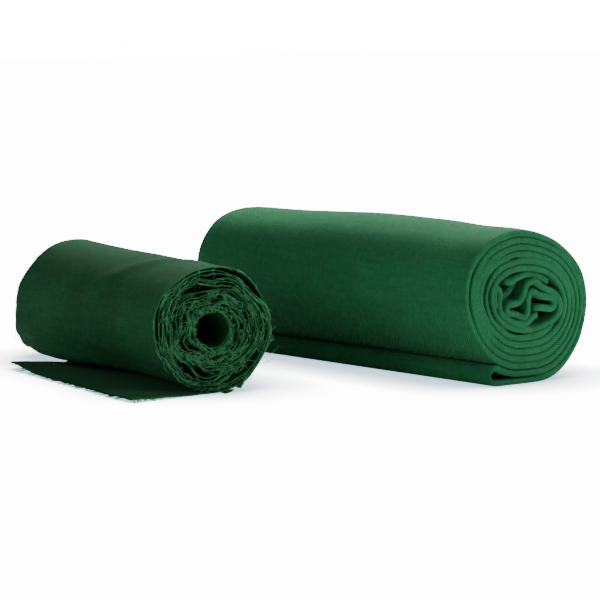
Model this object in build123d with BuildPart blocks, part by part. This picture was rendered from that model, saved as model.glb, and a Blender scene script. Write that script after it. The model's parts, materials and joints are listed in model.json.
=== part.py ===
"""Two loose rolls of folded backdrop cloth that lie side by side on a floor.

The wide roll is a cloth folded into a thick leaf, doubled over, and wound up from its two
ends, so that a rounded fold ends the winding as a flap on the floor. The narrow roll is
a single ply wound round a hollow, with its last stretch left lying on the floor.

Millimetres, +Z up. The origin is on the floor under the middle of the wide roll, whose
axis is X. Y runs from the narrow roll towards the wide one and past it.
"""
from build123d import *

import math
import os

# The wide roll. Its outline follows from its leaf, its gaps and the space that its core takes.
WIDE_LENGTH = 350.0
LEAF = 4.4                   # one leaf, four plies of cloth
WIDE_TURNS = 3               # turns of the doubled leaf round the core
GAP_HEIGHT = 1.4             # air between leaves above and below the core
GAP_RIGHT = 0.3              # air between leaves where the roll leans on its back side
GAP_LEFT = 1.2               # air between leaves on the flap's side
CORE_RIGHT = 9.5             # the core's reach past the roll's middle, in leaves
CORE_LEFT = 8.55
CORE_HEIGHT = 10.93
BASE_RIGHT = 15.0            # flat of the base, each side of the roll's middle
BASE_LEFT = 5.0
CROWN = 16.0                 # how far the top leans towards the flap
LEAN = 6.0                   # how far the left flank is higher than the core's
FLAP_SHARE = 0.29            # share of a quarter turn that the flap runs past the base
NOSE_BULGE = 9.5             # the fold's reach past the end of the flap's leaves
CORE_LEAD = 0.25             # share of the first quarter turn that the outer leaf runs on

# The narrow roll.
NARROW_LENGTH = 303.0
NARROW_RADIUS = 50.8
PLY = 1.15                   # one ply of cloth
BORE_RADIUS = 14.0           # the hollow that a pole passes through
NARROW_TURNS = 15
NARROW_ANGLE = 13.4          # degrees between the two rolls
NARROW_MIDDLE = (-86.8, -199.7)
CORE_TURNS = 3               # inner turns that slide out together
HOLLOW_SHARE = 0.8           # share of each turn that keeps its radius before it steps inwards

# The loose end of the narrow roll and its corner at the other side.
TAIL_NEAR = 80.0
TAIL_FAR = 90.0
TAIL_HINGE = 32.0            # how far from the base line the loose end starts to lift
TAIL_SKEW = 0.28             # how much the near edge strays along the roll
TAIL_ROOT_CUT = 68.0         # how far its far edge stays inside the roll's far end, at the hinge
TAIL_FAR_CUT = 88.0          # and at its far corner
EAR_ANGLE = 25.0             # degrees round from the base where the corner leaves the roll
EAR_LENGTH = 22.0
EAR_OUTSIDE = 5.0
EAR_TIP = 19.0
EAR_ROOT = 38.0

SAMPLES = 4                  # points on a spline for each quarter turn
STRAND_SAMPLES = 3           # points on a strand's edge for each of its path's points

wide_pitch_height = LEAF + GAP_HEIGHT
wide_pitch_right = LEAF + GAP_RIGHT
wide_pitch_left = LEAF + GAP_LEFT
wide_leaves = 2 * WIDE_TURNS
core_floor = wide_pitch_height * (wide_leaves + 1) + LEAF
wide_top = core_floor + CORE_HEIGHT * LEAF + LEAF + wide_pitch_height * wide_leaves
wide_right = CORE_RIGHT * LEAF + LEAF + wide_pitch_right * (wide_leaves - 0.5)
wide_left = CORE_LEFT * LEAF + LEAF + wide_pitch_left * (wide_leaves + 0.5)
flank_right = core_floor + CORE_HEIGHT * LEAF * 0.38
flank_left = core_floor + CORE_HEIGHT * LEAF * 0.6
narrow_pitch = (NARROW_RADIUS - PLY - BORE_RADIUS) / NARROW_TURNS

# Strands of the crumpled core: hand-laid paths, in leaves, from the roll's middle line
# and up from the core's floor. Each runs along the middle of its leaf.
SCROLL = [
    (5.3, 0.35), (7.3, 1.15), (8.5, 2.35), (8.75, 3.85), (8.15, 5.35), (6.7, 6.45), (4.8, 7.05),
    (3.3, 7.85), (1.8, 8.7), (0.35, 7.95), (-0.35, 6.35), (-1.35, 5.1), (-2.8, 4.72), (-4.15, 4.72),
    (-4.95, 3.9), (-4.25, 3.05), (-3.0, 2.95), (-1.6, 2.35), (-0.45, 1.97), (0.5, 2.6), (0.75, 4.1),
    (0.85, 5.65), (1.6, 6.72), (2.85, 6.2), (4.3, 5.65), (5.9, 5.5), (7.1, 4.95), (7.4, 4.0),
    (6.65, 3.3), (5.0, 3.55), (3.2, 3.7), (1.95, 3.5),
]
LINING = [
    (3.7, 2.35), (2.3, 2.05), (1.1, 1.3), (-0.4, 0.72), (-2.0, 0.95), (-3.7, 1.5), (-5.2, 2.3),
    (-6.25, 3.5), (-6.5, 5.1), (-6.35, 6.5), (-6.5, 7.3), (-7.05, 7.8), (-7.6, 7.3), (-7.7, 6.3),
    (-7.55, 5.1), (-7.15, 4.0),
]
CREST = [
    (6.3, 8.0), (5.4, 8.55), (4.0, 9.2), (2.3, 9.85), (0.1, 9.95), (-2.2, 9.3), (-4.1, 8.7), (-5.3, 9.0),
]


def wide_point(turn: float, leaf: int, inset: float) -> tuple[float, float]:
    """Return a point of the wide winding, as (y, z).

    Args:
        turn: Turns from the right end of the flat base, counted towards the core.
        leaf: 0 for the outer leaf of the pair, 1 for the inner one.
        inset: Distance inwards from the leaf's outer face.

    Returns:
        The point's place across the roll and its height.
    """
    whole = math.floor(turn)
    stage, share = divmod((turn - whole) * 5, 1)
    steps = 2 * (whole + min(1.0, (turn - whole) * 1.25)) + leaf
    inward = steps / wide_leaves
    low = wide_pitch_height * steps + inset
    high = wide_top - wide_pitch_height * steps - inset
    right = wide_right - wide_pitch_right * steps - inset
    left = wide_left - wide_pitch_left * steps - inset
    flat_right = BASE_RIGHT * (1 - inward / 2)
    flat_left = BASE_LEFT * (1 - inward)
    crown = CROWN * (1 - inward * 0.62)
    left_height = flank_left + LEAN * (1 - inward)
    across = math.sin(share * math.pi / 2)
    along = math.cos(share * math.pi / 2)
    if stage == 0:
        return flat_right + (right - flat_right) * across, flank_right - (flank_right - low) * along
    if stage == 1:
        return (right + crown) * along - crown, flank_right + (high - flank_right) * across
    if stage == 2:
        return -crown - (left - crown) * across, left_height + (high - left_height) * along
    if stage == 3:
        return -flat_left - (left - flat_left) * along, left_height - (left_height - low) * across
    return -flat_left + (flat_right + flat_left) * share, low


def wide_edge(start: float, end: float, leaf: int, inset: float) -> list[tuple[float, float]]:
    """Return evenly spaced points of the wide winding from one turn to another."""
    count = max(2, round((end - start) * 5 * SAMPLES))
    return [wide_point(start + (end - start) * i / count, leaf, inset) for i in range(count + 1)]


def narrow_point(turn: float, inset: float) -> tuple[float, float]:
    """Return a point of the narrow winding, as (across, up) in the narrow roll's own plane.

    Args:
        turn: Turns from the line where the loose end leaves the roll.
        inset: Distance inwards from the ply's outer face.

    Returns:
        The point's place across the roll and its height.
    """
    whole = math.floor(turn)
    ramp = max(0.0, (turn - whole - HOLLOW_SHARE) / (1 - HOLLOW_SHARE))
    wound = whole + (1 - math.cos(math.pi * ramp)) / 2
    radius = NARROW_RADIUS - narrow_pitch * wound - inset
    angle = 2 * math.pi * turn
    return radius * math.sin(angle), NARROW_RADIUS - radius * math.cos(angle)


def narrow_edge(start: float, end: float, inset: float) -> list[tuple[float, float]]:
    """Return evenly spaced points of the narrow winding from one turn to another."""
    count = round((end - start) * 6 * SAMPLES)
    return [narrow_point(start + (end - start) * i / count, inset) for i in range(count + 1)]


def strand_edges(path: list[tuple[float, float]]) -> list[list[Vector]]:
    """Return both edges of a leaf that follows a core path, as two lists of points."""
    places = [(y * LEAF, core_floor + z * LEAF) for y, z in path]
    line = Spline(*places)
    count = STRAND_SAMPLES * (len(path) - 1)
    edges = []
    for side in (LEAF / 2, -LEAF / 2):
        edge = []
        for i in range(count + 1):
            heading = line % (i / count)
            edge.append(line @ (i / count) + Vector(-heading.Y, heading.X) * side)
        edges.append(edge)
    return edges


def finish_node(name: str, part: Part) -> None:
    """Label a finished piece and write it as its own file."""
    part.label = name
    export_step(part, f"parts/{name}.step")


def wound_strip(name: str, plane: Plane, length: float, outer: list, inner: list) -> None:
    """Build a strip of cloth between two wound edges, straight along its roll.

    Args:
        name: The node's name.
        plane: The plane of the roll's near or far face that the edges are drawn on.
        length: How far the strip runs from that plane.
        outer: Points of the edge that faces outwards.
        inner: Points of the edge that faces the core.
    """
    with BuildPart() as strip:
        with BuildSketch(plane):
            with BuildLine():
                Spline(*outer)
                Line(outer[-1], inner[-1])
                Spline(*inner)
                Line(inner[0], outer[0])
            make_face()
        extrude(amount=length)
    finish_node(name, strip.part)


os.makedirs("parts", exist_ok=True)

# --- the wide roll -------------------------------------------------------------------
wide_plane = Plane.YZ.offset(-WIDE_LENGTH / 2)

flap_end = -0.2 * (1 + FLAP_SHARE)
flap_under = wide_edge(flap_end, -0.2, 1, 0)
flap_over = wide_edge(flap_end, -0.2, 1, LEAF)
flap_y = flap_under[0][0]
nose_middle = flap_over[0][1] / 2
base_end = wide_point(0, 0, 0)[0]
over_end = wide_point(0, 1, 0)[0]
with BuildPart() as wide_flap:
    with BuildSketch(wide_plane):
        with BuildLine():
            Line((base_end, 0), (flap_y, 0))
            Spline((flap_y, 0), (flap_y - NOSE_BULGE, nose_middle), flap_over[0], tangents=[(-1, 0), (1, -0.45)])
            Spline(*flap_over)
            Line(flap_over[-1], (over_end, flap_over[-1][1]))
            Line((over_end, flap_over[-1][1]), (over_end, flap_under[-1][1]))
            Line((over_end, flap_under[-1][1]), flap_under[-1])
            Spline(*flap_under)
            Spline(
                flap_under[0],
                (flap_y - NOSE_BULGE + LEAF, nose_middle),
                (flap_y, LEAF),
                tangents=[(-1, 0.45), (1, 0)],
            )
            Line((flap_y, LEAF), (base_end, LEAF))
            Line((base_end, LEAF), (base_end, 0))
        make_face()
    extrude(amount=WIDE_LENGTH)
finish_node("wide_flap", wide_flap.part)

for turn in range(WIDE_TURNS):
    last = turn == WIDE_TURNS - 1
    for leaf, side in enumerate(("outer", "inner")):
        end = turn + 1 + (CORE_LEAD * 0.2 if last and leaf == 0 else 0)
        outer_edge = wide_edge(turn, end, leaf, 0)
        inner_edge = wide_edge(turn, end, leaf, LEAF)
        wound_strip(f"wide_turn{turn + 1}_{side}", wide_plane, WIDE_LENGTH, outer_edge, inner_edge)

for name, path in {"wide_core_scroll": SCROLL, "wide_core_lining": LINING, "wide_core_crest": CREST}.items():
    left_edge, right_edge = strand_edges(path)
    wound_strip(name, wide_plane, WIDE_LENGTH, left_edge, right_edge)

# --- the narrow roll -----------------------------------------------------------------
turned = math.radians(NARROW_ANGLE)
roll_axis = Vector(math.cos(turned), -math.sin(turned), 0)
roll_across = Vector(math.sin(turned), math.cos(turned), 0)
far_end = Vector(*NARROW_MIDDLE, 0) - roll_axis * (NARROW_LENGTH / 2)
near_end = Vector(*NARROW_MIDDLE, 0) + roll_axis * (NARROW_LENGTH / 2)
narrow_plane = Plane(origin=far_end, x_dir=roll_across, z_dir=roll_axis)

core_start = NARROW_TURNS - CORE_TURNS
groups = {
    "narrow_turn_outer": (0, 1),
    "narrow_turns_a": (1, 4),
    "narrow_turns_b": (4, 7),
    "narrow_turns_c": (7, 10),
    "narrow_turns_d": (10, core_start),
    "narrow_core_wrap": (core_start, NARROW_TURNS),
}
for name, (start, end) in groups.items():
    outer_edge = narrow_edge(start, end, 0)
    inner_edge = narrow_edge(start, end, PLY)
    wound_strip(name, narrow_plane, NARROW_LENGTH, outer_edge, inner_edge)

with BuildPart() as narrow_core_bore:
    with BuildSketch(narrow_plane):
        with BuildLine():
            bore = CenterArc((0, NARROW_RADIUS), BORE_RADIUS, -90, 360 * HOLLOW_SHARE)
            shell = CenterArc((0, NARROW_RADIUS), BORE_RADIUS + PLY, -90, 360 * HOLLOW_SHARE)
            Line(bore @ 0, shell @ 0)
            Line(bore @ 1, shell @ 1)
        make_face()
    extrude(amount=NARROW_LENGTH)
finish_node("narrow_core_bore", narrow_core_bore.part)

# --- the narrow roll's loose end -----------------------------------------------------
tail_plane = Plane(origin=near_end, x_dir=roll_axis, z_dir=(0, 0, 1))
hinge_near = TAIL_SKEW * TAIL_HINGE
with BuildPart() as narrow_tail_root:
    with BuildSketch(tail_plane):
        Polygon(
            (0, 0),
            (hinge_near, -TAIL_HINGE),
            (TAIL_ROOT_CUT - NARROW_LENGTH, -TAIL_HINGE),
            (-NARROW_LENGTH, 0),
            align=None,
        )
    extrude(amount=PLY)
finish_node("narrow_tail_root", narrow_tail_root.part)

with BuildPart() as narrow_tail:
    with BuildSketch(tail_plane):
        Polygon(
            (hinge_near, -TAIL_HINGE),
            (TAIL_SKEW * TAIL_NEAR, -TAIL_NEAR),
            (TAIL_FAR_CUT - NARROW_LENGTH, -TAIL_FAR),
            (TAIL_ROOT_CUT - NARROW_LENGTH, -TAIL_HINGE),
            align=None,
        )
    extrude(amount=PLY)
finish_node("narrow_tail", narrow_tail.part)

ear_turn = math.radians(EAR_ANGLE)
ear_out = roll_across * math.sin(ear_turn) - Vector(0, 0, math.cos(ear_turn))
ear_origin = near_end + Vector(0, 0, NARROW_RADIUS) + ear_out * NARROW_RADIUS
with BuildPart() as narrow_ear:
    with BuildSketch(Plane(origin=ear_origin, x_dir=-roll_axis, z_dir=ear_out)):
        Polygon((-EAR_OUTSIDE, 0), (EAR_TIP, EAR_LENGTH), (EAR_ROOT, 0), align=None)
    extrude(amount=PLY)
finish_node("narrow_ear", narrow_ear.part)
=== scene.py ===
"""Looks of two loose rolls of green backdrop cloth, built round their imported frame.

The wide roll is a thick folded leaf, doubled over and wound up; the narrow roll is a single
ply with torn edges. Sizes are metres, in the frame's own axes: X along the wide roll, Z up.
"""

import json
import logging
import math
import random
from dataclasses import dataclass, field
from enum import Enum
from typing import Callable, Sequence

import bmesh
import bpy
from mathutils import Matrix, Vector, noise


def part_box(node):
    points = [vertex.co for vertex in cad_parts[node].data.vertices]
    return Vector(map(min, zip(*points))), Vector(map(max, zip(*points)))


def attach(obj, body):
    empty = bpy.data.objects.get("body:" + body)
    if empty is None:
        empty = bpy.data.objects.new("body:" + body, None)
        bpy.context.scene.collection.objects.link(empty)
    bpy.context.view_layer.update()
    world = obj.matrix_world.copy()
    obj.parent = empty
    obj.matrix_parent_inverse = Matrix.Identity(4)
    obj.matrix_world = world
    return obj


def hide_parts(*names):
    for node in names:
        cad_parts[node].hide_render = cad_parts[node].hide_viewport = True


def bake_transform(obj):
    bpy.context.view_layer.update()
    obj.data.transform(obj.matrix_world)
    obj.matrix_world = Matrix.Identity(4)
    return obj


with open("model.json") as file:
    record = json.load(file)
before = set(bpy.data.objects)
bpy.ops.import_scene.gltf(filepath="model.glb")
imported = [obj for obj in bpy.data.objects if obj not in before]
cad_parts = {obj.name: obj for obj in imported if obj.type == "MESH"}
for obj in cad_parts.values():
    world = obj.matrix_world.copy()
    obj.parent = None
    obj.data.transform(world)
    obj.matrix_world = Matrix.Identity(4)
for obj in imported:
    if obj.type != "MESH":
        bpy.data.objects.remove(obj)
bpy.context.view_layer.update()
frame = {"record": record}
log = logging.getLogger("cloth_rolls")

MM = 0.001
Socket = bpy.types.NodeSocket
Piece = bpy.types.Object
Mesh = bmesh.types.BMesh
Pair = tuple[float, float]
Triple = tuple[float, float, float]
Quad = tuple[float, float, float, float]
Faces = tuple[list[Vector], list[Vector]]


def smooth_step(low: float, high: float, value: float) -> float:
    """Return 0 below low, 1 above high and an eased share between them."""
    share = min(1.0, max(0.0, (value - low) / (high - low)))
    return share * share * (3 - 2 * share)


def ripple(scale: float, seed: float, *place: float) -> float:
    """Return smooth noise, about -1 to 1, at a place in metres.

    Args:
        scale: Size of one ripple, in metres.
        seed: Number that sets this noise apart from others.
        place: Up to two coordinates.

    Returns:
        The noise there.
    """
    first, second = (*place, 0.0)[:2]
    return noise.noise(Vector((first / scale, second / scale, seed * 7.31)))


def off_by(angle: float, where: float) -> float:
    """Return how far an angle is from another, from -180 to 180 degrees."""
    return (angle - where + 180) % 360 - 180


def hump(value: float, wide: float) -> float:
    """Return a bell curve's height: 1 at zero, falling off over a width."""
    return math.exp(-((value / wide) ** 2))


# --- shader expressions ----------------------------------------------------------------
class Value:
    """A shader socket that carries a number and can be used in Python expressions."""

    def __init__(self, tree: "ShaderTree", socket: Socket) -> None:
        """Keep the tree that new Math nodes go to, and the socket."""
        self.tree = tree
        self.socket = socket

    def _math(self, operation: str, first: object, second: object = 0.0) -> "Value":
        """Add one Math node to the tree and return what it gives."""
        node = self.tree.node("ShaderNodeMath", {"operation": operation}, {0: first, 1: second})
        return Value(self.tree, node.outputs[0])

    def __add__(self, other: object) -> "Value":
        """Return self + other."""
        return self._math("ADD", self, other)

    def __sub__(self, other: object) -> "Value":
        """Return self - other."""
        return self._math("SUBTRACT", self, other)

    def __rsub__(self, other: object) -> "Value":
        """Return other - self."""
        return self._math("SUBTRACT", other, self)

    def __mul__(self, other: object) -> "Value":
        """Return self * other."""
        return self._math("MULTIPLY", self, other)

    __radd__ = __add__
    __rmul__ = __mul__

    def power(self, exponent: float) -> "Value":
        """Return self raised to a fixed exponent."""
        return self._math("POWER", self, exponent)

    def sine(self) -> "Value":
        """Return the sine of self, in radians."""
        return self._math("SINE", self)

    def clamped(self) -> "Value":
        """Return self, kept from 0 to 1."""
        node = self.tree.node("ShaderNodeClamp", {}, {"Value": self})
        return Value(self.tree, node.outputs[0])


class ShaderTree:
    """The node tree of one material or world."""

    def __init__(self, owner: bpy.types.Material | bpy.types.World) -> None:
        """Start an empty tree in a new material or world."""
        self.owner = owner
        self.owner.use_nodes = True
        self.tree = self.owner.node_tree
        self.tree.nodes.clear()

    def node(self, kind: str, settings: dict[str, object], inputs: dict[object, object]) -> bpy.types.Node:
        """Add a node.

        Args:
            kind: The node's type name.
            settings: Attributes to set first.
            inputs: Values or links for the sockets, by name or number.

        Returns:
            The new node.
        """
        made = self.tree.nodes.new(kind)
        for key, value in settings.items():
            setattr(made, key, value)
        for key, value in inputs.items():
            if isinstance(value, Value):
                self.tree.links.new(value.socket, made.inputs[key])
            elif isinstance(value, Socket):
                self.tree.links.new(value, made.inputs[key])
            else:
                made.inputs[key].default_value = value
        return made

    def noise(self, place: Socket, scale: float, detail: float = 2.0, rough: float = 0.5) -> Value:
        """Return a noise texture's value, from 0 to 1."""
        inputs = {"Vector": place, "Scale": scale, "Detail": detail, "Roughness": rough}
        return Value(self, self.node("ShaderNodeTexNoise", {}, inputs).outputs["Fac"])

    def stretched(self, place: Socket, scale: Sequence[float]) -> Socket:
        """Return a place whose axes are scaled one by one."""
        return self.node("ShaderNodeMapping", {}, {"Vector": place, "Scale": tuple(scale)}).outputs[0]

    def mixed(self, factor: Value, first: object, second: object) -> Socket:
        """Return a colour between two colours."""
        made = self.node("ShaderNodeMix", {"data_type": "RGBA"}, {0: factor, 6: first, 7: second})
        return made.outputs[2]


# --- finishes --------------------------------------------------------------------------
@dataclass(frozen=True)
class ClothFinish:
    """A brushed twill: its tones, its ribs and how its edges look."""

    name: str
    deep: Triple
    pale: Triple
    edge: Triple
    rib: float = 2.1 * MM
    rib_depth: float = 0.5 * MM
    edge_share: float = 0.0
    sheen: float = 0.1
    contrast: float = 1.0

    def material(self) -> bpy.types.Material:
        """Build the cloth's material.

        Returns:
            A material that reads the piece's UV map, in metres along and across the cloth.
        """
        tree = ShaderTree(bpy.data.materials.new(self.name))
        cloth = tree.node("ShaderNodeUVMap", {"uv_map": "cloth"}, {}).outputs[0]
        body = tree.node("ShaderNodeTexCoord", {}, {}).outputs["Object"]
        split = tree.node("ShaderNodeSeparateXYZ", {}, {0: cloth})
        along, across = Value(tree, split.outputs[0]), Value(tree, split.outputs[1])
        turn = 2 * math.pi / self.rib
        drift = tree.noise(cloth, 60.0, 1.0) * 2.2
        ribs = ((along * 0.8 + across) * turn + drift).sine() * 0.5 + 0.5
        yarns = ((along - across * 0.7) * (turn * 1.35) + drift).sine() * 0.5 + 0.5
        weave = ribs.power(1.4) * (0.72 + yarns * 0.28)
        nap = tree.noise(body, 900.0, 3.0, 0.65)
        brushed = tree.noise(tree.stretched(cloth, (420.0, 26.0, 1.0)), 1.0, 3.0, 0.6)
        mottle = tree.noise(tree.stretched(cloth, (90.0, 380.0, 1.0)), 1.0, 3.0, 0.65)
        patches = tree.noise(body, 13.0, 3.0, 0.55)
        tone = weave * 0.46 + brushed * 0.34 + mottle * 0.4 + nap * 0.3 + patches * 0.3 - 0.48
        tone = (tone - 0.4) * self.contrast + 0.4
        colour = tree.mixed(tone.clamped(), (*self.deep, 1), (*self.pale, 1))
        if self.edge_share:
            torn = tree.node("ShaderNodeAttribute", {"attribute_name": "raw"}, {})
            raw = Value(tree, torn.outputs["Fac"])
            speckle = (tree.noise(body, 1400.0, 2.0) * 1.6 - 0.15).clamped()
            colour = tree.mixed((raw * speckle * self.edge_share).clamped(), colour, (*self.edge, 1))
        height = weave * self.rib_depth + nap * (0.18 * MM) + brushed * (0.12 * MM)
        bump = tree.node("ShaderNodeBump", {}, {"Height": height, "Distance": 1.0, "Strength": 0.8})
        shader = tree.node(
            "ShaderNodeBsdfPrincipled",
            {},
            {
                "Base Color": colour,
                "Roughness": (0.8 + nap * 0.2).clamped(),
                "Specular IOR Level": 0.1,
                "Sheen Weight": self.sheen,
                "Sheen Roughness": 0.45,
                "Sheen Tint": (0.35, 0.95, 0.45, 1),
                "Normal": bump.outputs[0],
            },
        )
        tree.node("ShaderNodeOutputMaterial", {}, {0: shader.outputs[0]})
        return tree.owner


@dataclass(frozen=True)
class FloorFinish:
    """A plain white floor that glows to the camera, with a painted soft shadow beside the cloth."""

    name: str = "pale floor"
    colour: Triple = (0.9, 0.92, 0.94)
    shade: Triple = (0.06, 0.09, 0.11)
    glow: float = 14.0
    reach: float = 0.075
    steepness: float = 4.6

    def material(self) -> bpy.types.Material:
        """Build the floor's material."""
        tree = ShaderTree(bpy.data.materials.new(self.name))
        inputs = {"Base Color": (*self.colour, 1), "Roughness": 0.9, "Specular IOR Level": 0.1}
        matt = tree.node("ShaderNodeBsdfPrincipled", {}, inputs)
        # painted shadow: the floor's glow darkens towards the shade colour where ambient occlusion finds
        # the cloth close by
        open_air = tree.node("ShaderNodeAmbientOcclusion", {"samples": 8}, {"Distance": self.reach})
        shade = Value(tree, open_air.outputs["AO"]).power(self.steepness)
        colour = tree.mixed(shade, (*self.shade, 1), (1, 1, 1, 1))
        glow = tree.node("ShaderNodeEmission", {}, {"Color": colour, "Strength": self.glow})
        seen = tree.node("ShaderNodeLightPath", {}, {}).outputs["Is Camera Ray"]
        mixed = tree.node("ShaderNodeMixShader", {}, {0: seen, 1: matt.outputs[0], 2: glow.outputs[0]})
        tree.node("ShaderNodeOutputMaterial", {}, {0: mixed.outputs[0]})
        return tree.owner


class Finish(Enum):
    """The finishes that pieces are dressed in."""

    WIDE = ClothFinish("wide twill", (0.006, 0.056, 0.023), (0.025, 0.235, 0.085), (0.2, 0.4, 0.26))
    NARROW = ClothFinish(
        "narrow twill", (0.0008, 0.017, 0.007), (0.006, 0.105, 0.027), (0.03, 0.18, 0.065),
        rib=1.5 * MM, rib_depth=0.2 * MM, edge_share=0.8, sheen=0.035, contrast=1.7,
    )
    THREAD = ClothFinish(
        "loose thread", (0.008, 0.11, 0.035), (0.1, 0.38, 0.16), (0.2, 0.4, 0.26), rib=0.6 * MM
    )


# --- meshes ----------------------------------------------------------------------------
@dataclass
class Strip:
    """A strip of cloth with real thickness, closed all round.

    Attributes:
        name: The piece's name.
        place: Gives the point for a share of the run, a place along the roll and a share of the depth.
        run: Length of the strip across the roll, in metres.
        ends: Gives the strip's two edges along the roll for a share of its run.
        thick: The cloth's thickness.
        steps: Faces along the run.
        stations: Shares of the strip's width where its loops lie, from 0 to 1.
        nose: Faces round each edge: several for a fold, one for a cut edge.
        taper: Length over which each end of the run thins, 0 where it meets another piece.
        start: Where the UV map starts along the run.
        raw: How far the pale, torn edge reaches into the cloth.
        round: How far each edge bulges, as a share of the thickness.
        grooves: Gives how deep the groove beside the edge is on the outer and the inner side, 0 to 1.
    """

    name: str
    place: Callable[[float, float, float], Vector]
    run: float
    ends: Callable[[float], Pair]
    thick: float
    steps: int
    stations: Sequence[float]
    nose: int = 6
    taper: Pair = (0.0, 0.0)
    start: float = 0.0
    raw: float = 2.2 * MM
    round: float = 0.36
    grooves: Callable[[float], Pair] = lambda share: (1.0, 1.0)

    def section(self) -> list[Triple]:
        """Return the loop round the strip, as (share of the width, bulge, share of the depth)."""
        loop = [(share, 0.0, 0.0) for share in self.stations]
        turn = [math.pi * k / self.nose for k in range(1, self.nose)]
        arc = [(math.sin(a) ** 0.8, math.copysign(abs(math.cos(a)) ** 0.75, math.cos(a))) for a in turn]
        loop += [(1.0, out, (1 - down) / 2) for out, down in arc]
        loop += [(share, 0.0, 1.0) for share in reversed(self.stations)]
        loop += [(0.0, -out, (1 + down) / 2) for out, down in arc]
        return loop

    def build(self) -> Piece:
        """Build the strip.

        Returns:
            The new object, with a UV map in metres and the share of raw edge on each point.
        """
        loop = self.section()
        around = len(loop)
        bm = bmesh.new()
        raw = bm.verts.layers.float.new("raw")
        spots = []

        def lay(share: float, turn: float) -> Vector:
            """Return the point for a share of the run and a share of the loop."""
            j = round(turn * around)
            side, bulge, depth = loop[j % around]
            low, high = self.ends(share)
            full = self.swell(share)
            groove = self.grooves(share)[depth > 0.5] if bulge or side in (0.0, 1.0) else 1.0
            flush = math.copysign(1, side - 0.5) * (1 - groove)
            x = low + (high - low) * side + (bulge * groove + flush) * self.round * self.thick * full
            spots.append((share, j, 1 - smooth_step(0, self.raw, min(x - low, high - x))))
            return self.place(share, x, 0.5 + (depth - 0.5) * full)

        laid = dict(zip(sweep(bm, self.steps, around, lay), spots))
        for vert, (_, _, torn) in laid.items():
            vert[raw] = torn
        self.unwrap(bm, laid, loop)
        piece = finished(closed(bm), self.name)
        low, high = self.ends(0.5)
        piece["flat"] = (high - low + 2 * self.round * self.thick, self.run)
        return piece

    def swell(self, share: float) -> float:
        """Return the share of the full thickness at a share of the run."""
        thin = 1.0
        for gap, reach in ((share * self.run, self.taper[0]), ((1 - share) * self.run, self.taper[1])):
            if gap < reach:
                thin = min(thin, math.sqrt(1 - (1 - gap / reach) ** 2) * 0.88 + 0.12)
        return thin

    def unwrap(self, bm: Mesh, spots: dict, loop: list) -> None:
        """Write the UV map: metres along the run, and metres round the strip's section."""
        uv = bm.loops.layers.uv.new("cloth")
        low, high = self.ends(0.5)
        width = high - low
        rows = [0.0]
        for a, b in zip(loop, [*loop[1:], loop[0]]):
            out, bulge, down = (later - first for first, later in zip(a, b))
            step = Vector((out * width, down * self.thick, bulge * self.thick / 2))
            rows.append(rows[-1] + step.length)
        for face in bm.faces:
            for corner in face.loops:
                share, j, _ = spots[corner.vert]
                corner[uv].uv = (self.start + share * self.run, low + rows[j])


def sweep(bm: Mesh, steps: int, around: int, place: Callable[[float, float], Vector]) -> list:
    """Add a grid to a bmesh and lay it over a surface.

    Args:
        bm: The bmesh to add to.
        steps: Faces one way.
        around: Faces the other way.
        place: Gives the point for both shares, each from 0 to 1.

    Returns:
        The new vertices.
    """
    made = bmesh.ops.create_grid(bm, x_segments=steps, y_segments=around, size=0.5)["verts"]
    for vert in made:
        first = round((vert.co.x + 0.5) * steps) / steps
        second = round((vert.co.y + 0.5) * around) / around
        vert.co = place(first, second)
    return made


def closed(bm: Mesh) -> Mesh:
    """Merge a bmesh's doubles, cap its open ends and turn its faces outwards."""
    bmesh.ops.remove_doubles(bm, verts=bm.verts[:], dist=1e-6)
    bmesh.ops.holes_fill(bm, edges=[e for e in bm.edges if e.is_boundary])
    bmesh.ops.recalc_face_normals(bm, faces=bm.faces[:])
    for face in bm.faces:
        face.smooth = len(face.verts) < 5
    return bm


def finished(bm: Mesh, name: str) -> Piece:
    """Turn a bmesh into a linked object at the origin."""
    mesh = bpy.data.meshes.new(name)
    bm.to_mesh(mesh)
    bm.free()
    made = bpy.data.objects.new(name, mesh)
    bpy.context.collection.objects.link(made)
    return made


class Lay(Enum):
    """How a piece of cloth is held."""

    FOLDED = "folded"
    LAID = "laid"


def clothed(piece: Piece, material: bpy.types.Material, body: str | None = None,
            held: Lay = Lay.FOLDED) -> None:
    """Args:
        piece: The piece.
        material: Its material.
        body: The body it rides on, or None to leave it unattached.
        held: Not used.
    """
    piece.data.materials.append(material)
    tuple(piece["flat"])
    if body:
        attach(piece, body)
    log.info("%s: %d faces, %.3f by %.3f m", piece.name, len(piece.data.polygons), *piece["flat"])


def stations(rim: Sequence[float], inset: float, middle: int) -> list[float]:
    """Return the shares of a cloth's width where its loops lie, closer at both ends."""
    inner = [inset + (1 - 2 * inset) * k / middle for k in range(middle + 1)]
    return [*rim, *inner, *(1 - share for share in reversed(rim))]


def spread(chain: Sequence[Vector], count: int) -> list[tuple[int, float]]:
    """Return where evenly spaced places lie on a chain, as (span, share of the span)."""
    runs = [0.0]
    for a, b in zip(chain, chain[1:]):
        runs.append(runs[-1] + (b - a).length)
    made, k = [], 0
    for i in range(count + 1):
        goal = runs[-1] * i / count
        while k < len(runs) - 2 and runs[k + 1] < goal:
            k += 1
        made.append((k, min(1.0, (goal - runs[k]) / max(1e-9, runs[k + 1] - runs[k]))))
    return made


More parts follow.
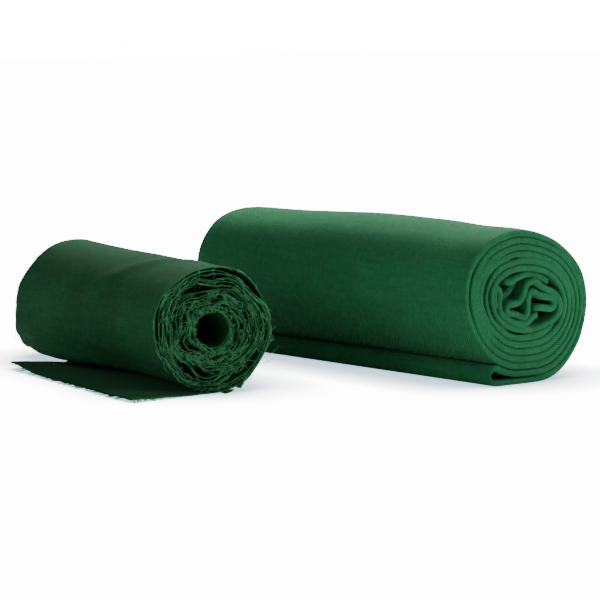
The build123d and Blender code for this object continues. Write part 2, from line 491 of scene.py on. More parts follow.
def smooth_path(points: Sequence[Pair], count: int) -> list[tuple[Vector, Vector]]:
    """Return evenly spaced places and left-hand normals on a smooth curve through points.

    Args:
        points: Points that the curve passes through.
        count: How many spans to divide it into.

    Returns:
        Pairs of a place and a unit normal, both flat vectors.
    """
    ends = [Vector(points[0]) * 2 - Vector(points[1]), Vector(points[-1]) * 2 - Vector(points[-2])]
    knots = [ends[0], *(Vector(p) for p in points), ends[1]]
    fine = []
    for a, b, c, d in zip(knots, knots[1:], knots[2:], knots[3:]):
        for k in range(12):
            t = k / 12
            square, cube = (2 * a - 5 * b + 4 * c - d), (3 * b - a - 3 * c + d)
            fine.append(0.5 * (2 * b + (c - a) * t + square * t * t + cube * t ** 3))
    fine.append(knots[-2])
    places = [fine[k].lerp(fine[k + 1], share) for k, share in spread(fine, count)]
    made = []
    for i, place in enumerate(places):
        ahead = places[min(i + 1, count)] - places[max(i - 1, 0)]
        made.append((place, Vector((-ahead.y, ahead.x)).normalized()))
    return made


def evenly_paired(first: Sequence[Vector], second: Sequence[Vector], count: int) -> Faces:
    """Return two chains of points, resampled together at even steps of the first.

    Args:
        first: Chain whose length sets the steps.
        second: Chain with as many points.
        count: How many spans to divide both into.

    Returns:
        Both chains with count + 1 points each.
    """
    places = spread(first, count)
    return tuple([chain[k].lerp(chain[k + 1], share) for k, share in places] for chain in (first, second))


def path_length(points: Sequence[Vector]) -> float:
    """Return the length of a chain of points."""
    return sum((b - a).length for a, b in zip(points, points[1:]))


# --- the wide roll ---------------------------------------------------------------------
@dataclass
class WideRoll:
    """The wide roll: a folded leaf, doubled over at the flap and wound towards a crumpled core."""

    leaf: float = 4.4 * MM
    turns: int = 3
    gap_height: float = 1.4 * MM
    gap_right: float = 0.3 * MM
    gap_left: float = 1.2 * MM
    core: Triple = (9.5, 8.55, 10.93)
    base: Pair = (15 * MM, 5 * MM)
    crown: float = 16 * MM
    lean: float = 6 * MM
    flap_share: float = 0.29
    nose_bulge: float = 9.5 * MM
    lead: float = 0.11
    core_leaf: float = 5.7 * MM
    proud: float = 1.6 * MM  # how far the near edges stand past the roll's box
    rim: Triple = (0.0, 0.006, 0.02)
    inset: float = 0.045
    samples: int = 90  # places a turn
    step: float = 3.0 * MM
    loops: int = 28
    edge_leaf: float = 5.4 * MM  # thickness that the rounded side edges are drawn for
    thinned: float = 22 * MM  # how far the inner end thins towards the core
    crease: float = 0.9 * MM
    sway: float = 0.8 * MM
    bulge: float = 1.8 * MM  # how far the right flank stands out
    mark: float = 1e-5  # scale of the groove's depth in a point's z, too small to count as length
    # where leaves are pressed shut: (leaves in, degrees from the right, half width)
    pressed: tuple[Triple, ...] = ((3.5, 182, 52), (4.5, 168, 62), (4.7, 48, 52), (1.4, 20, 40))
    # where leaves stand apart: the same, and the air as a share of the pitch
    open: tuple[Quad, ...] = (
        (2.5, 176, 40, 0.24), (5.5, 166, 42, 0.34), (6.6, 186, 46, 0.34), (5.04, 98, 9, 0.26),
        (6.9, 250, 22, 0.2), (2.0, 268, 90, 0.06), (3.5, 10, 60, 0.05),
    )
    scroll: tuple[Pair, ...] = (
        (5.3, 0.35), (7.3, 1.15), (8.5, 2.35), (8.75, 3.85), (8.15, 5.35), (6.7, 6.45), (4.8, 7.05),
        (3.3, 7.85), (1.8, 8.7), (0.35, 7.95), (-0.35, 6.35), (-1.35, 5.1), (-2.8, 4.72), (-4.15, 4.72),
        (-4.95, 3.9), (-4.25, 3.05), (-3.0, 2.95), (-1.6, 2.35), (-0.45, 1.97), (0.5, 2.6), (0.75, 4.1),
        (0.85, 5.65), (1.6, 6.72), (2.85, 6.2), (4.3, 5.65), (5.9, 5.5), (7.1, 4.95), (7.4, 4.0),
        (6.65, 3.3), (5.0, 3.55), (3.2, 3.7), (1.95, 3.5),
    )
    lining: tuple[Pair, ...] = (
        (3.7, 2.35), (2.3, 2.05), (1.1, 1.3), (-0.4, 0.72), (-2.0, 0.95), (-3.7, 1.5), (-5.2, 2.3),
        (-6.25, 3.5), (-6.5, 5.1), (-6.35, 6.5), (-6.5, 7.3), (-7.05, 7.8), (-7.6, 7.3), (-7.7, 6.3),
        (-7.55, 5.1), (-7.15, 4.0),
    )
    crest: tuple[Pair, ...] = (
        (6.3, 8.0), (5.4, 8.55), (4.0, 9.2), (2.3, 9.85), (0.1, 9.95), (-2.2, 9.3), (-4.1, 8.7),
        (-5.3, 9.0),
    )
    tuck: tuple[Pair, ...] = ((-5.2, 5.75), (-3.7, 6.1), (-2.2, 6.9), (-1.35, 7.9), (-0.75, 8.75))
    lead_in: tuple[Pair, ...] = ((1.4, -0.36), (2.6, -0.32), (3.9, -0.06), (5.3, 0.35))
    pitch: Triple = field(init=False)
    floor: float = field(init=False)

    def __post_init__(self) -> None:
        """Work out the winding's pitches and the height of the core's floor."""
        self.pitch = tuple(self.leaf + gap for gap in (self.gap_height, self.gap_right, self.gap_left))
        self.floor = self.pitch[0] * (2 * self.turns + 1) + self.leaf
        low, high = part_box("wide_turn1_outer")
        self.near, self.far = high[0], low[0]
        self.middle = (high[2] + low[2]) / 2

    def point(self, turn: float, leaf: float) -> Pair:
        """Return a point of the winding.

        Args:
            turn: Turns from the right end of the flat base, counted towards the core.
            leaf: 0 for the outer leaf's outer face, 1 for the inner leaf's, or a share between.

        Returns:
            The point's place across the roll and its height.
        """
        leaves = 2 * self.turns
        right_core, left_core, tall_core = (c * self.leaf for c in self.core)
        whole = math.floor(turn)
        stage, share = divmod((turn - whole) * 5, 1)
        steps = 2 * (whole + min(1.0, (turn - whole) * 1.25)) + leaf
        inward = steps / leaves
        low = self.pitch[0] * steps
        top = self.floor + tall_core + self.leaf + self.pitch[0] * (leaves - steps)
        right = right_core + self.leaf + self.pitch[1] * (leaves - 0.5 - steps)
        left = left_core + self.leaf + self.pitch[2] * (leaves + 0.5 - steps)
        flat_right = self.base[0] * (1 - inward / 2)
        flat_left = self.base[1] * (1 - inward)
        crown = self.crown * (1 - inward * 0.62)
        flank = self.floor + tall_core * 0.38
        flank_left = self.floor + tall_core * 0.6 + self.lean * (1 - inward)
        across, along = math.sin(share * math.pi / 2), math.cos(share * math.pi / 2)
        if stage == 0:
            return flat_right + (right - flat_right) * across, flank - (flank - low) * along
        if stage == 1:
            return (right + crown) * along - crown, flank + (top - flank) * across
        if stage == 2:
            return -crown - (left - crown) * across, flank_left + (top - flank_left) * along
        if stage == 3:
            return -flat_left - (left - flat_left) * along, flank_left - (flank_left - low) * across
        return -flat_left + (flat_right + flat_left) * share, low

    def heading(self, turn: float) -> float:
        """Return the direction from the roll's middle at a turn, in degrees from the right."""
        return ((turn - math.floor(turn)) * 5 * 90 - 90) if (turn % 1) < 0.8 else 270.0

    def beside(self, turn: float, leaf: float) -> tuple[float, float]:
        """Return the air, as a share of the pitch, and the groove's depth at a leaf's boundary."""
        steps = 2 * (math.floor(turn) + min(1.0, (turn % 1) * 1.25)) + leaf
        heading = self.heading(turn)
        shut = 0.0
        for step, where, wide in self.pressed:
            off = off_by(heading, where)
            if abs(steps - step - off / 180) < 0.45:
                shut = max(shut, smooth_step(wide, wide * 0.72, abs(off)))
        air = 0.034 + 0.02 * (1 + ripple(1.0, 17, steps * 0.9, heading * 0.03))
        for step, where, wide, much in self.open:
            off = off_by(heading, where)
            if abs(steps - step - off / 180) < 0.45:
                air += much * smooth_step(wide, wide * 0.35, abs(off))
        return air * (1 - shut * 0.85), 0.9 - 0.82 * shut

    def settled(self, x: float, y: float, z: float) -> Vector:
        """Return where a point of the plain roll lies in the soft, slightly dented one."""
        lift = smooth_step(0, 0.04, z)
        crease = self.crease * lift
        y, z = y + ripple(0.024, 4, y, z) * crease, z + ripple(0.024, 5, y, z) * crease
        radius = math.hypot(y, z - self.middle) / self.middle
        angle = math.atan2(z - self.middle, y)
        side = Vector((math.cos(angle), math.sin(angle)))
        dent = (ripple(0.11, 1, x, angle * 0.06) * 0.9 + ripple(0.045, 2, x, angle * 0.05) * 0.45) * MM
        crown = hump(x - 0.03, 0.1) * 4.6 - hump(x - 0.12, 0.025) * 0.5
        dent += crown * MM * max(0.0, math.sin(angle))
        dent += self.bulge * hump(math.degrees(angle) - 12, 42)
        edge = min(x - self.far, self.near - x)
        dent -= (1 - smooth_step(-0.002, 0.014, edge)) * 0.9 * MM * radius
        sway = ripple(0.16, 3, x) * self.sway
        push = dent * min(1.0, radius) ** 2 * lift
        return Vector((x, y + side.x * push + sway * lift, z + side.y * push))

    def side_edges(self, seed: float, spot: Callable[[float], Vector], depth: float = 1.2 * MM,
                   back: float = 0.0) -> Callable[[float], Pair]:
        """Return a function for a leaf's two edges, uneven along its run.

        Args:
            seed: Number that sets this leaf's unevenness apart.
            spot: Gives the leaf's place across the roll for a share of its run.
            depth: How far the edge wanders.
            back: How far the near edge stays inside the roll's end.

        Returns:
            A function from a share of the run to both edges' places along the roll.
        """
        room = 2 * MM  # left for the rounded edge

        def edges(share: float) -> Pair:
            """Return the far and near edge at a share of the run."""
            place = spot(share)
            wander = abs(ripple(0.045, seed, place.x, place.y)) * depth
            far_wander = abs(ripple(0.03, seed + 9, place.x, place.y)) * depth * 2
            return self.far + room + far_wander, self.near + self.proud - room - wander - back

        return edges

    def faces(self, first: float, last: float, leaf: int) -> Faces:
        """Sample a leaf's two faces, in the order in which the strip passes them.

        Args:
            first: Turn where the stretch starts.
            last: Turn where it ends.
            leaf: 0 for the outer leaf of the pair, 1 for the inner one.

        Returns:
            Points of both faces, with the groove's marked depth in z.
        """
        count = round(abs(last - first) * self.samples)
        outer, inner = [], []
        for k in range(count + 1):
            turn = first + (last - first) * k / count
            for made, side, inwards in ((outer, leaf, 0.5), (inner, leaf + 1, -0.5)):
                air, groove = self.beside(turn, side)
                made.append(Vector((*self.point(turn, side + air * inwards), groove * self.mark)))
        return (outer, inner) if last > first else (inner, outer)

    def wound(self) -> Piece:
        """Return the doubled leaf, out from the core to the flap's fold and in again."""
        outwards = self.faces(self.turns, -0.2 * (1 + self.flap_share), 1)
        outside, inside = self.with_flap(outwards, self.faces(0.0, self.turns + self.lead, 0))
        run = path_length(outside)
        count = round(run / self.step)
        outside, inside = evenly_paired(outside, inside, count)

        def place(share: float, x: float, depth: float) -> Vector:
            """Return a point between the leaf's two faces."""
            i = round(share * count)
            flat = outside[i].lerp(inside[i], depth)
            return self.settled(x, flat.x, flat.y)

        def grooves(share: float) -> Pair:
            """Return the grooves' depth at both sides of the leaf's edge."""
            i = round(share * count)
            return outside[i].z / self.mark, inside[i].z / self.mark

        edges = self.side_edges(0.1, lambda share: outside[round(share * count)])
        return Strip("wide_cloth_wound", place, run, edges, self.edge_leaf, count,
                     stations(self.rim, self.inset, self.loops), nose=10, taper=(0, self.thinned),
                     start=0.1, grooves=grooves).build()

    def with_flap(self, upper: Faces, lower: Faces) -> Faces:
        """Join the upper and lower stretch round the flap's fold.

        Args:
            upper: Both faces of the stretch that ends at the flap.
            lower: Both faces of the stretch that starts on the floor.

        Returns:
            Both faces with the fold and the lower leaf on the floor between them.
        """
        full, gap = upper[0][-1], upper[1][-1]
        thick = full.y - gap.y
        turns = [math.pi * k / 12 for k in range(1, 12)]
        reach, slot = self.nose_bulge, self.nose_bulge - thick
        half, gap_half = full.y / 2, (gap.y - thick) / 2
        outside = [(full.x - reach * math.sin(a) ** 0.8, half * (1 + math.cos(a))) for a in turns]
        inside = [(gap.x - slot * math.sin(a), gap.y - gap_half * (1 - math.cos(a))) for a in turns]
        foot = lower[0][0].x
        floor = [full.x + (foot - full.x) * k / 14 for k in range(14)]
        outside += [(y, 0.0) for y in floor]
        inside += [(y, thick) for y in floor]
        return tuple(
            before + [Vector((*flat, self.mark)) for flat in fold] + after
            for before, fold, after in zip(upper, (outside, inside), lower)
        )

    def strand(self, name: str, path: Sequence[Pair], seed: float, back: float = 0.0,
               taper: Pair = (2.7 * MM, 2.7 * MM)) -> Piece:
        """Build a strand of the crumpled core.

        Args:
            name: The piece's name.
            path: The strand's middle line, in leaves from the core's floor.
            seed: Number for the edges' unevenness.
            back: How far the near edge stays inside the roll's end.
            taper: How far each end of the run thins.

        Returns:
            The finished strip.
        """
        places = [(y * self.leaf, self.floor + z * self.leaf) for y, z in path]
        run = path_length([Vector(p) for p in places])
        count = round(run / (1.6 * MM))
        course = smooth_path(places, count)

        def place(share: float, x: float, depth: float) -> Vector:
            """Return a point between the strand's two faces."""
            middle, normal = course[round(share * count)]
            flat = middle + normal * self.core_leaf * (0.5 - depth)
            return self.settled(x, flat.x, flat.y)

        edges = self.side_edges(seed, lambda share: course[round(share * count)][0], 3.5 * MM, back)
        return Strip(name, place, run, edges, self.core_leaf, count, stations(self.rim, self.inset, 12),
                     taper=taper, start=seed).build()

    def build(self) -> None:
        """Build every piece of the wide roll and tie each, but the core's lead, to its body."""
        cloth = Finish.WIDE.value.material()
        wound = self.wound()
        clothed(wound, cloth, "wide_roll")
        turns = [f"wide_turn{k + 1}_{side}" for k in range(self.turns) for side in ("outer", "inner")]
        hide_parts("wide_flap", *turns)
        scroll = self.strand("wide_core_scroll_cloth", self.scroll, 2.3, taper=(0, 2.7 * MM))
        lining = self.strand("wide_core_lining_cloth", self.lining, 3.1)
        crest = self.strand("wide_core_crest_cloth", self.crest, 4.2, 1.5 * MM)
        tuck = self.strand("wide_core_tuck", self.tuck, 5.3, 9 * MM)
        for piece in (scroll, lining, crest, tuck):
            clothed(piece, cloth, "wide_core")
        lead = self.strand("wide_core_lead", self.lead_in, 6.1, taper=(0, 0))
        clothed(lead, cloth)
        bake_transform(lead)
        for piece, node in ((scroll, "scroll"), (lining, "lining"), (crest, "crest")):
            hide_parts(f"wide_core_{node}")


# --- loose threads -----------------------------------------------------------------------
@dataclass
class Threads:
    """Frayed threads, gathered in one piece."""

    name: str
    thick: float = 0.24 * MM
    bm: Mesh = field(default_factory=bmesh.new)

    def add(self, route: Sequence[Vector], steps: int = 6) -> None:
        """Add a thread.

        Args:
            route: Three or four points: a Bezier curve's ends and handles.
            steps: Faces along the thread.
        """
        route = [Vector(p) for p in route]
        if len(route) == 3:
            route = [route[0], route[0].lerp(route[1], 0.67), route[2].lerp(route[1], 0.67), route[2]]

        def lay(share: float, turn: float) -> Vector:
            """Return the point for a share of the thread and a share round it."""
            back = 1 - share
            mids = (back ** 3, 3 * back * back * share, 3 * back * share * share, share ** 3)
            middle = sum((p * w for p, w in zip(route, mids)), Vector())
            ahead = (route[3] - route[0]).normalized()
            aside = ahead.cross(Vector((0.31, 0.22, 0.93))).normalized()
            up = aside.cross(ahead)
            thick = self.thick * (1 - 0.45 * share)
            return middle + (aside * math.cos(turn * math.tau) + up * math.sin(turn * math.tau)) * thick

        sweep(self.bm, steps, 4, lay)

    def build(self) -> Piece:
        """Return all the threads as one piece."""
        return finished(closed(self.bm), self.name)


# --- the narrow roll ---------------------------------------------------------------------
@dataclass
class NarrowRoll:
    """The narrow roll: one torn ply wound round a hollow, with its loose end on the floor."""

    length: float = 303 * MM
    radius: float = 50.8 * MM
    ply: float = 1.15 * MM
    bore: float = 14 * MM
    turns: int = 15
    core_turns: int = 3
    tail_near: float = 80 * MM  # the loose end's reach at its near and far side
    tail_far: float = 90 * MM
    hinge: float = 32 * MM
    skew: float = 0.28  # how far its near side drifts, as a share of its reach
    root_cut: float = 68 * MM  # how far its far side is cut in at the hinge
    slump: float = 34 * MM  # how far the outer ply sags outwards on the floor, towards the far end
    far_cut: float = 88 * MM  # the same at its front edge
    edge_ply: float = 0.85 * MM
    ear_angle: float = 25.0
    ear_length: float = 22 * MM
    ear_span: Triple = (5 * MM, -19 * MM, -38 * MM)
    low_span: Triple = (6 * MM, -3 * MM, -14 * MM)
    step: float = 2.4 * MM
    rim: Triple = (0.0, 0.004, 0.01)
    inset: float = 0.022
    # air pockets: (turn, degrees from the base, width in degrees, weight)
    pockets: tuple[Quad, ...] = (
        (0.95, 148, 26, 9.0), (1.3, 268, 20, 6.0), (4.6, 250, 24, 5.0),
        (7.4, 215, 26, 6.0), (9.2, 92, 24, 7.0), (2.9, 20, 22, 4.0),
    )
    # how the outline strays from a circle: (degrees from the base, width in degrees, millimetres)
    shoulders: tuple[Triple, ...] = (
        (158, 30, 1.7), (250, 26, 1.9), (205, 30, -1.4), (95, 28, 0.8), (60, 20, -0.9),
    )
    # long loops of thread on the near end: four points each, millimetres across and up
    loops: tuple[tuple[Pair, ...], ...] = (
        ((-20, 55), (-24, 61), (-30, 59), (-30, 54)), ((-47, 41), (-40, 33), (-34, 40), (-28, 47)),
        ((-44, 60), (-40, 66), (-33, 62), (-29, 66)), ((8, 74), (14, 71), (20, 76), (24, 72)),
        ((-12, 24), (-8, 17), (-2, 18), (3, 14)), ((20, 62), (26, 57), (27, 50), (32, 47)),
    )
    # stray threads on the near end: root and tip, millimetres across and up
    strays: tuple[tuple[Pair, Pair], ...] = (
        ((48, 29), (57, 36)), ((49, 48), (54, 52)), ((48, 40), (53, 43)), ((44, 22), (52, 27)),
    )

    def __post_init__(self) -> None:
        """Read the roll's axis and ends from its mount, and spread the air between the plies."""
        mounts = frame["record"]["mounts"]
        bore = next(m for m in mounts if m["name"] == "pole_bore")
        self.axis = Vector(bore["axis"]).normalized()
        self.across = Vector((-self.axis.y, self.axis.x, 0))
        centre = Vector(bore["pos_m"])
        self.near = Vector((centre.x, centre.y, 0)) + self.axis * (self.length / 2)
        self.air = self.radius - self.bore - self.ply * (self.turns + 1)

    def weight(self, turn: float, angle: float) -> float:
        """Return how much air lies round a turn at an angle from the base."""
        drift = noise.noise(Vector((turn * 0.85, 1.4 * math.cos(angle), 1.4 * math.sin(angle) + 5.2)))
        made = math.exp(4.2 * drift)
        for about, where, wide, much in self.pockets:
            off = off_by(math.degrees(angle), where)
            made += much * math.exp(-((turn - about) / 0.45) ** 2 - (off / wide) ** 2)
        return made

    def radius_at(self, turn: float) -> float:
        """Return the radius of the ply's outer face, that many turns in from the loose end."""
        angle = math.tau * turn
        grain = 0.125
        samples = [self.weight((k + 0.5) * grain, angle) for k in range(int(self.turns / grain))]
        full = turn / grain
        inner = sum(samples[: int(full)])
        if full < len(samples):
            inner += samples[int(full)] * (full % 1)
        opening = min(1.0, turn / 0.3)
        share = inner / sum(samples) * opening
        return self.radius - self.ply * min(turn, self.turns) - self.air * share

    def outline(self, angle: float) -> float:
        """Return how much the roll stands out from a true circle at an angle from the base."""
        turned = math.degrees(angle)
        return sum(much * MM * hump(off_by(turned, where), wide) for where, wide, much in self.shoulders)

    def world(self, x: float, y: float, z: float) -> Vector:
        """Return the frame's place for one along, across and above the roll's near foot."""
        return self.near + self.axis * x + self.across * y + Vector((0, 0, z))

    def wound(self, turn: float) -> Callable[[float, float], Vector]:
        """Return a function from (place along, depth) to the ply's point at a turn."""
        angle = math.tau * turn
        radius = self.radius_at(turn)
        share = radius / self.radius
        foot = smooth_step(0, 0.5, 1 - math.cos(angle))
        shape = self.outline(angle) * share * foot

        def lay(x: float, depth: float) -> Vector:
            """Return the point at a place along the roll and a depth in the ply."""
            soft = ripple(0.14, 11, x, angle * 0.04) * 0.9 * MM
            soft += ripple(0.04, 12, x, angle * 0.05 + turn * 0.01) * 0.3 * MM
            waist = 1.2 * MM * (abs(x / self.length + 0.5) * 2) ** 2 - 0.2 * MM
            turned = math.degrees(angle) % 360
            far = smooth_step(0.1, 1.15, -x / self.length)
            waist += far * (8 * hump(turned - 303, 26) - 3 * hump(turned - 238, 24)) * MM
            fold = 1.5 * MM * hump(x + 0.062 + (turned - 172) * 0.0011, 0.014)
            waist += fold * smooth_step(150, 172, turned) * smooth_step(246, 222, turned)
            bent = radius - self.edge_ply * depth + shape + (soft + waist) * foot * share
            height = self.radius - bent * math.cos(angle)
            lowest = self.ply * smooth_step(270, 300, turned)
            height = max(height, lowest if turned < 352 else 0.0)
            slump = self.slump * smooth_step(0.1, 0.22, -x) * (1 - 0.3 * smooth_step(0.24, 0.3, -x))
            slump *= hump(height, 0.02) * smooth_step(358, 330, turned) * smooth_step(200, 290, turned)
            outermost = smooth_step(1.05, 0.95, turn)
            return self.world(x, bent * math.sin(angle) - slump * outermost, height)

        return lay

    def torn(self, seed: float, depth: float = 4.6 * MM) -> Callable[[float], Pair]:
        """Return a function for the ply's two torn edges at a length of its run."""

        def edges(run: float) -> Pair:
            """Return the far and near edge."""
            made = []
            for side, off in ((-1, 4.4), (1, 0.0)):
                wander = ripple(0.07, seed + off, run) * depth
                wander += ripple(0.012, seed + off + 1, run) * 0.9 * MM
                fine = ripple(0.004, seed + off + 2, run) * 0.9 * MM
                made.append((self.length / 2) * (side - 1) + wander + fine - side * 1.2 * MM)
            return made[0], made[1]

        return edges

    def stretch(self, name: str, first: float, last: float, middle: int, seed: float) -> Piece:
        """Build one stretch of the wound ply.

        Args:
            name: The piece's name.
            first: Turn where the stretch starts.
            last: Turn where it ends.
            middle: Loops along the roll.
            seed: Number for the torn edges.

        Returns:
            The finished strip.
        """
        marks, run = [first], 0.0
        while marks[-1] < last:
            marks.append(min(last, marks[-1] + self.step / (math.tau * self.radius_at(marks[-1]))))
            run += self.step
        rings = [self.wound(turn) for turn in marks]
        count = len(marks) - 1
        edges = self.torn(seed)
        return Strip(name, lambda share, x, depth: rings[round(share * count)](x, depth), run,
                     lambda share: edges(share * run + first * 0.3), self.ply, count,
                     stations(self.rim, self.inset, middle), nose=2, start=first * 0.3, round=0.2).build()

    def floor_cloth(self) -> Piece:
        """Build the loose end, from under the roll to its torn edge on the floor."""
        edges = self.torn(7.7, 1.5 * MM)

        def place(share: float, x: float, depth: float) -> Vector:
            """Return a point of the loose end."""
            far = min(1.0, max(0.0, -x / (self.length - self.far_cut)))
            reach = self.tail_near + (self.tail_far - self.tail_near) * far
            ragged = (ripple(0.05, 31, x) * 2.0 + ripple(0.009, 32, x) * 0.9) * MM
            out = share * reach + ragged * smooth_step(0.7, 1, share)
            clear = smooth_step(0.32, 0.6, share)
            curl = 4.5 * MM * smooth_step(0.7, 1.0, far) ** 1.5 * smooth_step(0.4, 1.0, share) ** 1.2
            wave = (1 + ripple(0.07, 33, x, share * 0.06)) * 0.9 * MM * clear
            near_lift = 1.2 * MM * smooth_step(0.12, 0.0, far) * smooth_step(0.6, 1, share)
            return self.world(x, -out, curl + wave + near_lift + self.ply * (1 - depth))

        def ends(share: float) -> Pair:
            """Return the loose end's two side edges."""
            low, high = edges(share * self.tail_near)
            cut = self.root_cut * min(1.0, share * self.tail_far / self.hinge)
            cut += (self.far_cut - self.root_cut) * smooth_step(self.hinge / self.tail_far, 1.0, share)
            return low + cut, high + self.skew * share * self.tail_near

        return Strip("narrow_loose_cloth", place, 88 * MM, ends, self.ply, 44,
                     stations(self.rim, self.inset, 44), nose=2, start=-88 * MM, round=0.2).build()

    def corner(self, name: str, angle: float, reach: float, span: Triple, seed: float,
               curl: float) -> Piece:
        """Build a torn corner that stands off the roll.

        Args:
            name: The piece's name.
            angle: Degrees round from the base where it leaves the roll.
            reach: How far it runs.
            span: Its root's near end, its tip and its root's far end, along the roll.
            seed: Number for its ragged edges.
            curl: How far its tip bends outwards.

        Returns:
            The finished strip.
        """
        turned = math.radians(angle)
        out = Vector((math.sin(turned), -math.cos(turned)))
        ahead = Vector((math.cos(turned), math.sin(turned)))
        foot = Vector((0, self.radius)) + out * (self.radius + 0.3 * MM)

        def place(share: float, x: float, depth: float) -> Vector:
            """Return a point of the corner."""
            rise = curl * (share ** 2) + ripple(0.012, seed, x, share * reach) * 1.2 * MM * share
            flat = foot + ahead * (share * reach) + out * (rise + self.ply * (1 - depth))
            return self.world(x, flat.x, max(flat.y, 0.0))

        def ends(share: float) -> Pair:
            """Return the corner's ragged edges."""
            near = span[0] + (span[1] - span[0]) * share
            near += ripple(0.004, seed + 1, share * reach) * 1.1 * MM
            far = span[2] + (span[1] - 1.5 * MM - span[2]) * share
            far += ripple(0.004, seed + 2, share * reach) * 0.8 * MM
            return min(far, near - 1 * MM), near

        return Strip(name, place, reach, ends, self.ply * 0.8, 18, [k / 10 for k in range(11)],
                     nose=2, start=seed, round=0.2).build()

    def fray(self) -> tuple[Threads, Threads, Threads]:
        """Return the frayed threads of the wound plies, of the core and of the loose end."""
        chance = random.Random(41)
        wound, core, tail = (Threads(f"narrow_{name}") for name in ("fray", "core_fray", "loose_fray"))
        self.fray_plies(chance, wound, core)
        for spots in self.loops:
            stand_off = zip((0, 4, 4, 0.5), spots)
            wound.add([self.world(out * MM, y * MM, z * MM) for out, (y, z) in stand_off], 10)
        for (y, z), (to_y, to_z) in self.strays:
            wound.add((self.world(-1 * MM, y * MM, z * MM), self.world(4 * MM, y * MM + 3 * MM, z * MM),
                       self.world(3 * MM, to_y * MM, to_z * MM)), 8)
        self.fray_tail(chance, tail)
        return wound, core, tail

    def fray_plies(self, chance: random.Random, wound: Threads, core: Threads) -> None:
        """Add short threads along both torn edges of the wound ply."""
        for _ in range(1500):
            turn = self.turns * (1 - chance.random() ** 1.2)
            host = core if turn > self.turns - self.core_turns else wound
            side = 1 if chance.random() < 0.6 else -1
            end = 0.0 if side > 0 else -self.length
            start = self.wound(turn)(end - side * 2.5 * MM, chance.random())
            reach = chance.uniform(2, 6.5) * MM * (1.6 if chance.random() < 0.12 else 1)
            beside = self.wound(turn + chance.uniform(-0.02, 0.02))
            slant = beside(end + side * reach * 0.3, chance.uniform(-1, 2))
            drop = Vector((0, 0, -abs(chance.gauss(0, 1.6)) * MM))
            beyond = self.wound(turn + chance.uniform(-0.035, 0.035))
            last = beyond(end + side * reach * 0.5, chance.uniform(-2.5, 2.5)) + drop
            last.z = max(last.z, 0.4 * MM)
            curl = slant + self.across * chance.gauss(0, 1.4) * MM
            curl += Vector((0, 0, chance.gauss(0, 1.4) * MM))
            host.add((start, slant, curl, last))

    def fray_tail(self, chance: random.Random, tail: Threads) -> None:
        """Add threads along the loose end's front edge, then along its near side."""
        for _ in range(110):
            along = -chance.random() * (self.length - self.far_cut)
            far = -along / (self.length - self.far_cut)
            out = -(self.tail_near + (self.tail_far - self.tail_near) * far)
            lift = 4.5 * MM * smooth_step(0.7, 1.0, far) ** 1.5 + 1.2 * MM
            reach = chance.uniform(1.5, 6) * MM
            start = self.world(along, out + 1.5 * MM, lift)
            middle = self.world(along + chance.gauss(0, 1.5) * MM, out - reach * 0.5, lift)
            low = max(0.4 * MM, lift - reach * 0.35)
            tail.add((start, middle, self.world(along + chance.gauss(0, 4) * MM, out - reach, low)))
        for _ in range(36):
            share = chance.uniform(0.45, 1)
            out = -share * self.tail_near
            edge = self.skew * share * self.tail_near - 1.2 * MM
            reach = chance.uniform(1.5, 5) * MM
            tip = self.world(edge + reach, out - chance.uniform(-2, 3) * MM, 0.5 * MM)
            tail.add((self.world(edge - 1 * MM, out, 1.4 * MM),
                      self.world(edge + reach * 0.5, out, 1.2 * MM), tip))

    def build(self) -> None:
        """Build every piece of the narrow roll and tie each, but the lead and the loose end, to its body.
        """
        cloth, thread = Finish.NARROW.value.material(), Finish.THREAD.value.material()
        last = self.turns - self.core_turns
        outer = self.stretch("narrow_cloth_outer", 0.0, 1.5, 44, 0.3)
        wraps = self.stretch("narrow_cloth_wraps", 1.5, 6.5, 10, 0.5)
        inner = self.stretch("narrow_cloth_inner", 6.5, last, 8, 0.7)
        core = self.stretch("narrow_cloth_core", last + 0.25, self.turns + 0.75, 12, 1.1)
        lead = self.stretch("narrow_cloth_lead", last, last + 0.25, 8, 0.9)
        tail = self.floor_cloth()
        ear = self.corner("narrow_torn_corner", self.ear_angle, self.ear_length, self.ear_span,
                          3.0, 2.5 * MM)
        low = self.corner("narrow_low_corner", 9, 12 * MM, self.low_span, 5.0, 0.4 * MM)
        for piece in (outer, wraps, inner):
            clothed(piece, cloth, "narrow_roll")
        for piece, span in ((ear, self.ear_span), (low, self.low_span)):
            area = (span[0] - span[2]) * piece["flat"][1] / 2
            clothed(piece, cloth, "narrow_roll")
        clothed(core, cloth, "narrow_core")
        clothed(lead, cloth)
        clothed(tail, cloth, held=Lay.LAID)
        middle = self.world(0, 0, self.radius)
        past = middle + self.across * 0.022
        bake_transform(lead)
        hinge = self.world(0, -self.hinge, 0)
        tuple(hinge + self.across * 0.006)
        tuple(hinge - self.across * 0.012)
        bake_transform(tail)
        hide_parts("narrow_turn_outer")
        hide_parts("narrow_turns_a", "narrow_turns_b")
        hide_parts("narrow_turns_c", "narrow_turns_d")
        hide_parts("narrow_core_wrap", "narrow_core_bore")
        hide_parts("narrow_tail_root", "narrow_tail")
        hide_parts("narrow_ear")
        for threads, body in zip(self.fray(), ("narrow_roll", "narrow_core", "loose_end")):
            piece = threads.build()
            piece.data.materials.append(thread)
            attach(piece, body)
            log.info("%s: %d faces on %s", piece.name, len(piece.data.polygons), body)


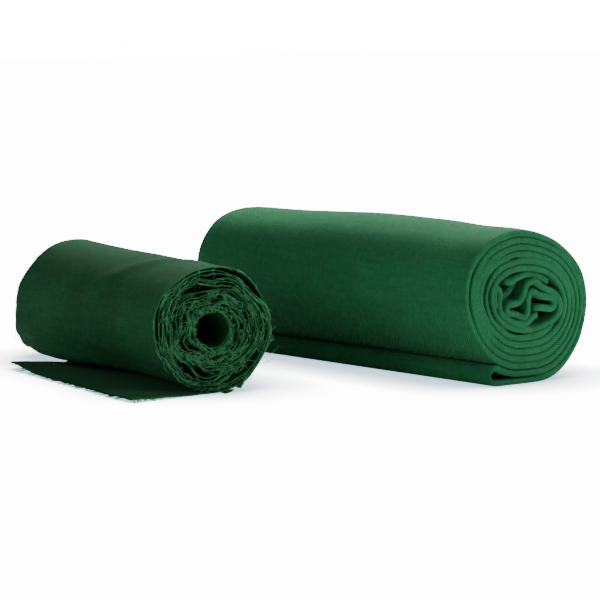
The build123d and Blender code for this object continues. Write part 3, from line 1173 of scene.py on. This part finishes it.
# --- the studio ------------------------------------------------------------------------
@dataclass
class Studio:
    """The pale floor, the soft lights and the camera."""

    camera_place: Triple = (1.8178, -1.6067, 0.3070)
    camera_turn: float = 50.24
    camera_dip: float = 5.945
    lens: float = 169.5
    shown: float = 16.0  # how bright the surround looks, and below how much light it casts
    cast: float = 0.35
    # soft lights: name, place, aim, size and watts
    lights: tuple[tuple[str, Triple, Triple, Pair, float], ...] = (
        ("top light", (-0.4, 1.35, 1.35), (0, -0.05, 0.1), (1.6, 0.7), 106),
        ("end light", (2.2, 0.7, 0.9), (0.1, -0.1, 0.07), (0.9, 1.0), 24),
        ("fill light", (-0.2, -2.3, 0.8), (0, -0.1, 0.05), (1.2, 0.6), 11),
    )

    def floor(self) -> None:
        """Lay a wide pale floor under the rolls."""
        bm = bmesh.new()
        bmesh.ops.create_grid(bm, x_segments=1, y_segments=1, size=12.0)
        made = finished(bm, "floor")
        made.data.materials.append(FloorFinish().material())

    def light(self, name: str, place: Triple, aim: Triple, size: Pair, power: float) -> None:
        """Add a soft rectangular light that looks at a point."""
        lamp = bpy.data.lights.new(name, "AREA")
        lamp.shape, lamp.size, lamp.size_y = "RECTANGLE", *size
        lamp.energy = power
        made = bpy.data.objects.new(name, lamp)
        made.location = place
        made.rotation_euler = (Vector(aim) - Vector(place)).to_track_quat("-Z", "Y").to_euler()
        bpy.context.collection.objects.link(made)

    def world(self) -> None:
        """Set a plain white surround that lights softly."""
        tree = ShaderTree(bpy.data.worlds.new("white surround"))
        seen = tree.node("ShaderNodeLightPath", {}, {}).outputs["Is Camera Ray"]
        glows = ((0.93, 0.97, 1.0), self.cast), ((1, 1, 1), self.shown)
        cast, shown = (
            tree.node("ShaderNodeBackground", {}, {0: (*colour, 1), 1: power}).outputs[0]
            for colour, power in glows
        )
        mixed = tree.node("ShaderNodeMixShader", {}, {0: seen, 1: cast, 2: shown})
        tree.node("ShaderNodeOutputWorld", {}, {0: mixed.outputs[0]})
        bpy.context.scene.world = tree.owner

    def camera(self) -> None:
        """Place the camera and make it the scene's own."""
        lens = bpy.data.cameras.new("camera")
        lens.lens, lens.sensor_width = self.lens, 36.0
        lens.clip_start, lens.clip_end = 0.05, 60.0
        made = bpy.data.objects.new("camera", lens)
        made.location = self.camera_place
        made.rotation_euler = (math.radians(90 - self.camera_dip), 0, math.radians(self.camera_turn))
        bpy.context.collection.objects.link(made)
        bpy.context.scene.camera = made

    def build(self) -> None:
        """Set up the floor, the surround, the lights and the camera."""
        self.floor()
        self.world()
        for light in self.lights:
            self.light(*light)
        self.camera()


def main() -> None:
    """Build the studio and both rolls, in order."""
    logging.basicConfig(level=logging.INFO, format="%(name)s: %(message)s")
    Studio().build()
    WideRoll().build()
    NarrowRoll().build()


if __name__ == "__main__":
    main()
